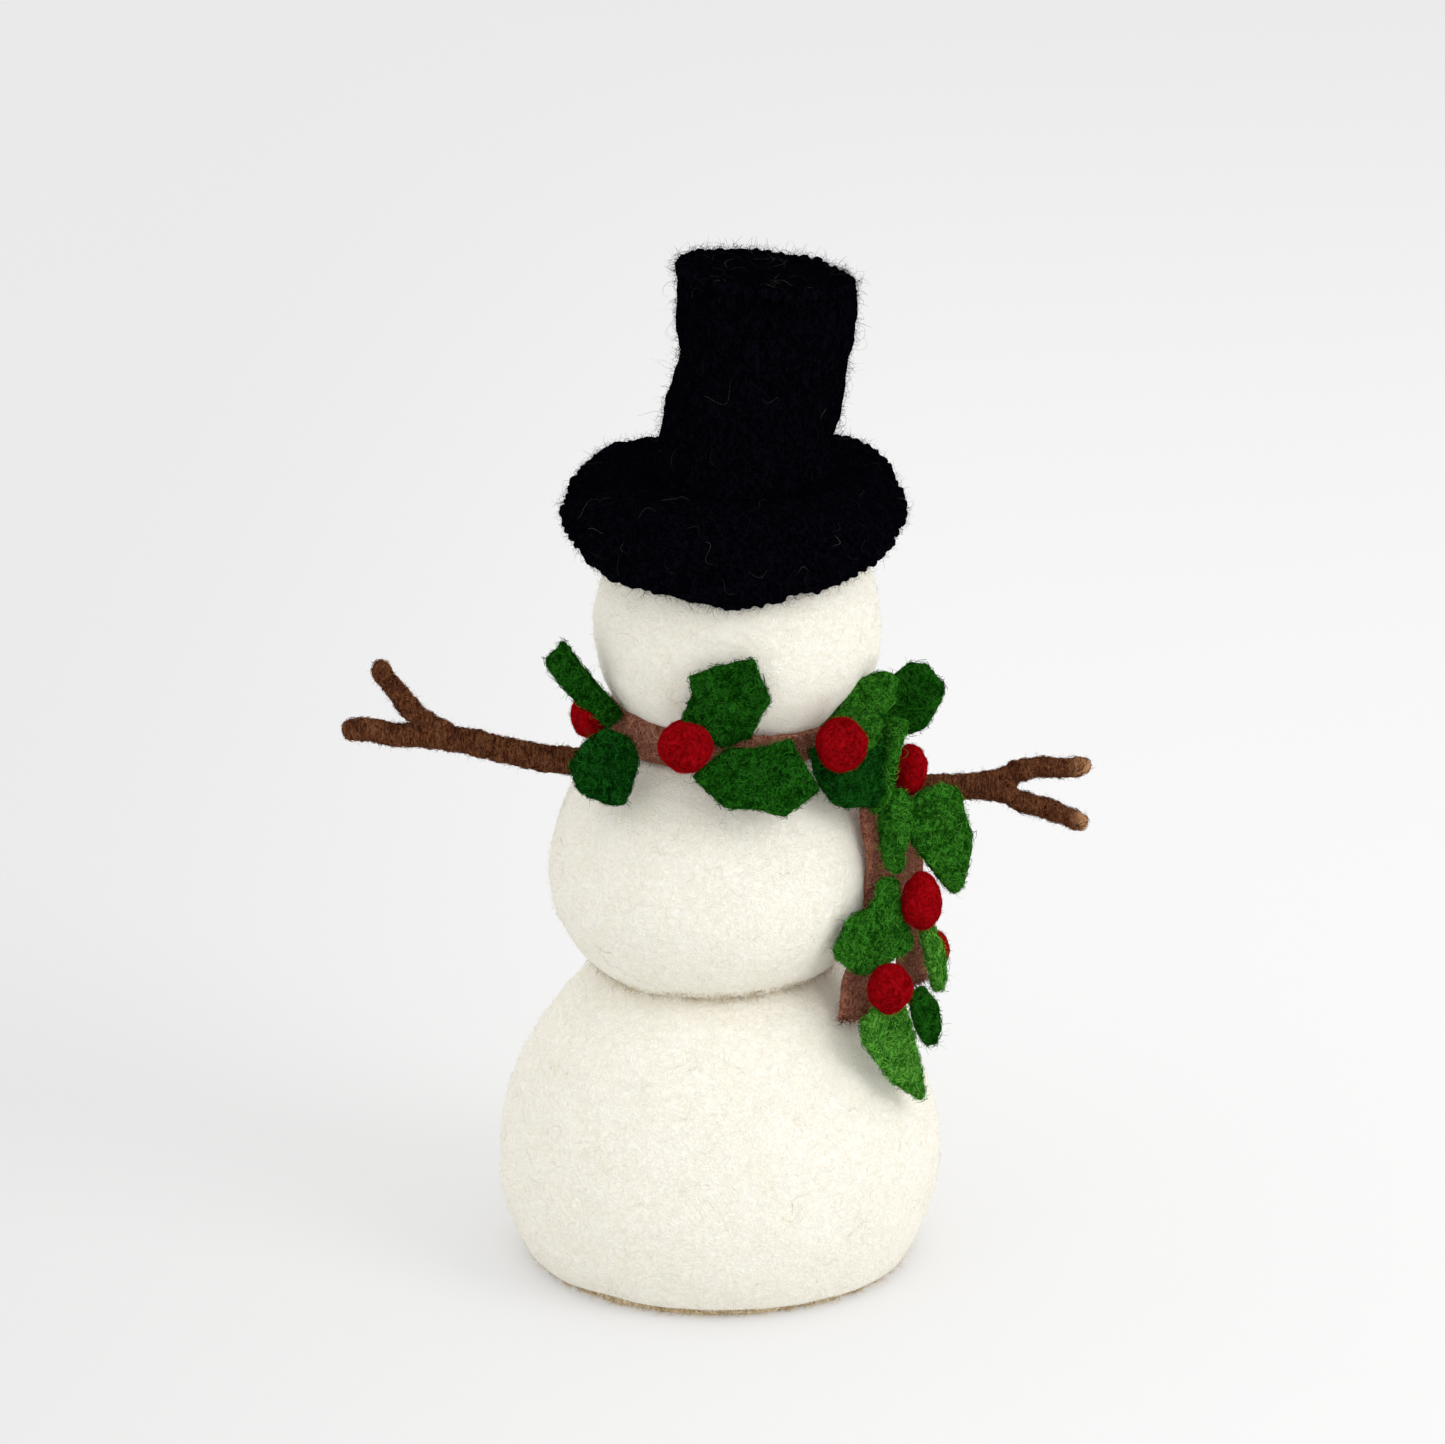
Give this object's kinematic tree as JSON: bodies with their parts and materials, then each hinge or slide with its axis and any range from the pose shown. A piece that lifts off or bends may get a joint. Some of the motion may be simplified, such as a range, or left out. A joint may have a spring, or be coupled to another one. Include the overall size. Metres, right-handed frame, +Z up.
{
  "type": "felt snowman figure",
  "caption": "Standing snowman of stacked felted wool balls with a lift-off felt top hat, bendable wool-wound wire arms and a holly and berry garland with a hanging tail.",
  "frame": {"origin": "centre of the flat sole, on the surface the snowman stands on", "axes": "+Z up, -Y out of the snowman's back, +Y out of its face, +X towards the arm that the garland's tail hangs beside"},
  "size_m": [0.2257, 0.1381, 0.3103],
  "materials": {
    "white_wool_felt": "matte fibrous felt",
    "wool_filling": "matte",
    "coarse_grey_felt": "matte coarse felt",
    "plain_wood": "bare",
    "navy_felt": "matte felt",
    "navy_yarn": "matte yarn",
    "brown_wound_wool": "matte wound wool",
    "steel_wire": "plain",
    "brown_felt": "matte felt",
    "green_felt": "matte felt",
    "red_felted_wool": "matte felt",
    "orange_felt": "matte felt",
    "black_felt": "matte felt"
  },
  "bodies": {
    "snowman": {"arm_cross_wire": "steel_wire", "berry_collar_back": "red_felted_wool", "berry_collar_left": "red_felted_wool", "berry_collar_right": "red_felted_wool", "berry_face_left": "red_felted_wool", "berry_face_right": "red_felted_wool", "button_lower": "black_felt", "button_middle": "black_felt", "button_upper": "black_felt", "collar_strap": "brown_felt", "eye_left": "black_felt", "eye_right": "black_felt", "head_felt": "white_wool_felt", "head_filling": "wool_filling", "leaf_collar_back_high": "green_felt", "leaf_collar_back_low": "green_felt", "leaf_collar_knot": "green_felt", "leaf_collar_left_low": "green_felt", "leaf_collar_left_upright": "green_felt", "leaf_collar_right_far": "green_felt", "leaf_collar_right_high": "green_felt", "leaf_collar_under_berry": "green_felt", "leaf_face_left": "green_felt", "leaf_face_middle": "green_felt", "leaf_face_right": "green_felt", "lower_body_felt": "white_wool_felt", "lower_body_filling": "wool_filling", "middle_body_felt": "white_wool_felt", "middle_body_filling": "wool_filling", "nose": "orange_felt", "sole": "coarse_grey_felt", "spine_rod": "plain_wood"},
    "hat": {"hat_brim": "navy_felt", "hat_brim_stitching": "navy_yarn", "hat_crown": "navy_felt", "hat_top": "navy_felt", "hat_top_stitching": "navy_yarn"},
    "left_arm": {"arm_left_wool": "brown_wound_wool", "arm_left_wire": "steel_wire"},
    "left_twig": {"arm_left_twig": "brown_wound_wool"},
    "right_arm": {"arm_right_wool": "brown_wound_wool", "arm_right_wire": "steel_wire"},
    "right_upper_twig": {"arm_right_upper_twig": "brown_wound_wool"},
    "right_lower_twig": {"arm_right_lower_twig": "brown_wound_wool"},
    "garland_tail": {"berry_tail_lower": "red_felted_wool", "berry_tail_middle": "red_felted_wool", "berry_tail_outer": "red_felted_wool", "berry_tail_upper": "red_felted_wool", "leaf_tail_bottom": "green_felt", "leaf_tail_edge": "green_felt", "leaf_tail_middle": "green_felt", "leaf_tail_outer": "green_felt", "leaf_tail_small": "green_felt", "leaf_tail_upper": "green_felt", "tail_strap_inner": "brown_felt", "tail_strap_outer": "brown_felt"}
  },
  "joints": [
    {"name": "hat_lift", "type": "slide", "parent": "snowman", "child": "hat", "axis": [0, 0, 1], "range_m": [0, 0.12]},
    {"name": "left_shoulder", "type": "hinge", "parent": "snowman", "child": "left_arm", "pos_m": [-0.0462, 0.006, 0.1549], "axis": [0, 1, 0], "range_deg": [-40, 30]},
    {"name": "left_twig_bend", "type": "hinge", "parent": "left_arm", "child": "left_twig", "pos_m": [-0.0914, 0.006, 0.1698], "axis": [0, 1, 0], "range_deg": [-20, 25]},
    {"name": "right_shoulder", "type": "hinge", "parent": "snowman", "child": "right_arm", "pos_m": [0.0449, 0.006, 0.1476], "axis": [0, 1, 0], "range_deg": [-25, 40]},
    {"name": "right_upper_twig_bend", "type": "hinge", "parent": "right_arm", "child": "right_upper_twig", "pos_m": [0.09, 0.006, 0.1514], "axis": [0, 1, 0], "range_deg": [-40, 5]},
    {"name": "right_lower_twig_bend", "type": "hinge", "parent": "right_arm", "child": "right_lower_twig", "pos_m": [0.0902, 0.006, 0.1422], "axis": [0, 1, 0], "range_deg": [-5, 40]},
    {"name": "garland_tail_swing", "type": "hinge", "parent": "snowman", "child": "garland_tail", "pos_m": [0.044, -0.014, 0.166], "axis": [-0.3401, -0.9404, 0], "range_deg": [0, 35]}
  ]
}
